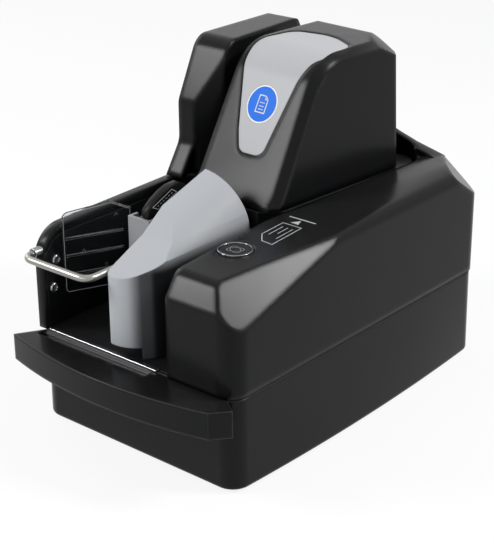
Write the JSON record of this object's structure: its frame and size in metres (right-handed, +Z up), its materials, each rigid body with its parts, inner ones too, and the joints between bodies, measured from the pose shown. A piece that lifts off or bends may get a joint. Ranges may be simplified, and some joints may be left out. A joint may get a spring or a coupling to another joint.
{
  "type": "cheque scanner",
  "caption": "Compact desktop cheque scanner: U-shaped document track, entry hopper, exit pocket with wire bail, two tall track covers, printer hood and a start button.",
  "frame": {"origin": "bottom centre of the machine's overall box, on the desk under the feet", "axes": "+X to the operator's right, -Y towards the operator, +Z up"},
  "size_m": [0.149, 0.2484, 0.193],
  "materials": {
    "dark_casing": "satin fine texture",
    "hood_grey": "satin",
    "badge_grey": "satin",
    "disc_blue": "gloss",
    "disc_rim": "satin",
    "liner_grey": "matte",
    "cradle_grey": "satin",
    "black_plastic": "gloss",
    "clear_plastic": "clear",
    "sensor_glass": "polished",
    "bright_wire": "polished",
    "steel": "brushed",
    "screw_steel": "zinc plated",
    "deck_steel": "galvanised",
    "motor_can": "satin",
    "rubber": "matte",
    "tyre_rubber": "ground",
    "bearing_plastic": "matte",
    "belt": "moulded",
    "board_green": "solder resist",
    "socket_black": "matte",
    "button_dark": "satin",
    "head_metal": "lapped"
  },
  "bodies": {
    "chassis": {"base_casing": "dark_casing", "rubber_feet": "rubber", "case_screws": "screw_steel", "deck_plate": "deck_steel", "track_floor": "liner_grey", "floor_strip": "steel", "upper_casing": "dark_casing", "pocket_liner": "liner_grey", "pocket_screws": "screw_steel", "exit_sensor": "sensor_glass", "bail_sleeve": "black_plastic", "flag_pin": "steel", "flag_spring": "steel", "track_island": "liner_grey", "hood_pin": "steel", "ink_cradle": "cradle_grey", "ink_cartridge": "black_plastic", "latch_pin": "steel", "outer_hinge_pins": "steel", "button_bezel": "disc_rim", "button_spring": "steel", "start_switch": "socket_black", "drive_motor": "motor_can", "drive_belt": "belt", "circuit_board": "board_green", "power_inlet": "socket_black", "usb_socket": "steel", "mag_head": "head_metal", "mag_head_spring": "steel", "front_image_sensor": "black_plastic", "rear_image_sensor": "black_plastic", "sensor_glasses": "sensor_glass", "feed_separator": "tyre_rubber", "shaft_bushes": "bearing_plastic", "pinch_axles": "steel", "machine_screws": "screw_steel"},
    "outer_cover": {"outer_cover": "dark_casing"},
    "inner_cover": {"inner_cover": "dark_casing", "badge_inlay": "badge_grey", "badge_disc": "disc_blue", "badge_ring": "disc_rim"},
    "ink_hood": {"ink_hood": "hood_grey"},
    "cartridge_latch": {"cartridge_latch": "black_plastic"},
    "stacker_bail": {"stacker_bail": "bright_wire"},
    "exit_flag": {"exit_flag": "clear_plastic"},
    "start_button": {"start_button": "button_dark"},
    "feed_drive": {"feed_shaft": "steel", "feed_tyres": "tyre_rubber"},
    "right_drive": {"right_shaft": "steel", "right_tyres": "tyre_rubber"},
    "left_drive": {"left_shaft": "steel", "left_tyres": "tyre_rubber"},
    "exit_drive": {"exit_shaft": "steel", "exit_tyres": "tyre_rubber"},
    "motor_pulley": {"motor_pulley": "bearing_plastic"},
    "right_pinch": {"right_pinch_roller": "tyre_rubber"},
    "left_pinch": {"left_pinch_roller": "tyre_rubber"},
    "exit_pinch": {"exit_pinch_roller": "tyre_rubber"}
  },
  "joints": [
    {"name": "outer_cover_hinge", "type": "hinge", "parent": "chassis", "child": "outer_cover", "pos_m": [-0.0719, 0.0621, 0.1135], "axis": [0, -1, 0], "range_deg": [0, 80]},
    {"name": "inner_cover_lift", "type": "slide", "parent": "chassis", "child": "inner_cover", "axis": [0, 0, 1], "range_m": [0, 0.06]},
    {"name": "ink_hood_hinge", "type": "hinge", "parent": "chassis", "child": "ink_hood", "pos_m": [-0.0036, -0.0194, 0.109], "axis": [-1, 0, 0], "range_deg": [0, 30]},
    {"name": "cartridge_latch_hinge", "type": "hinge", "parent": "chassis", "child": "cartridge_latch", "pos_m": [-0.0267, -0.0234, 0.119], "axis": [-1, 0, 0], "range_deg": [0, 75]},
    {"name": "stacker_bail_slide", "type": "slide", "parent": "chassis", "child": "stacker_bail", "axis": [0, -1, 0], "range_m": [0, 0.016]},
    {"name": "exit_flag_hinge", "type": "hinge", "parent": "chassis", "child": "exit_flag", "pos_m": [-0.042, -0.0489, 0.0965], "axis": [0, 0, 1], "range_deg": [0, 25], "stiffness_Nm_per_rad": 0.003, "springref_deg": -20.05},
    {"name": "start_button_press", "type": "slide", "parent": "chassis", "child": "start_button", "axis": [0, 0, -1], "range_m": [0, 0.0012], "stiffness_N_per_m": 600, "springref_m": -0.0012, "deforming": ["button_spring"]},
    {"name": "feed_spin", "type": "hinge", "parent": "chassis", "child": "feed_drive", "pos_m": [0.01647, 0.0031, 0.0375], "axis": [0, 0, 1], "continuous": true},
    {"name": "right_spin", "type": "hinge", "parent": "chassis", "child": "right_drive", "pos_m": [0.02149, 0.0701, 0.0375], "axis": [0, 0, 1], "continuous": true},
    {"name": "left_spin", "type": "hinge", "parent": "chassis", "child": "left_drive", "pos_m": [-0.0342, 0.0701, 0.0375], "axis": [0, 0, 1], "continuous": true},
    {"name": "exit_spin", "type": "hinge", "parent": "chassis", "child": "exit_drive", "pos_m": [-0.0342, 0.0321, 0.0375], "axis": [0, 0, 1], "continuous": true},
    {"name": "motor_spin", "type": "hinge", "parent": "chassis", "child": "motor_pulley", "pos_m": [-0.004, 0.0901, 0.0375], "axis": [0, 0, 1], "continuous": true},
    {"name": "right_pinch_spin", "type": "hinge", "parent": "chassis", "child": "right_pinch", "pos_m": [0.03679, 0.0701, 0.0375], "axis": [0, 0, 1], "continuous": true},
    {"name": "left_pinch_spin", "type": "hinge", "parent": "chassis", "child": "left_pinch", "pos_m": [-0.0495, 0.0701, 0.0375], "axis": [0, 0, 1], "continuous": true},
    {"name": "exit_pinch_spin", "type": "hinge", "parent": "chassis", "child": "exit_pinch", "pos_m": [-0.0495, 0.0321, 0.0375], "axis": [0, 0, 1], "continuous": true}
  ],
  "couplings": [
    {"joint": "right_spin", "follows": "feed_spin", "ratio": 1},
    {"joint": "left_spin", "follows": "feed_spin", "ratio": 1},
    {"joint": "exit_spin", "follows": "feed_spin", "ratio": 1},
    {"joint": "motor_spin", "follows": "feed_spin", "ratio": 1},
    {"joint": "right_pinch_spin", "follows": "feed_spin", "ratio": -1.5},
    {"joint": "left_pinch_spin", "follows": "feed_spin", "ratio": -1.5},
    {"joint": "exit_pinch_spin", "follows": "feed_spin", "ratio": -1.5}
  ]
}
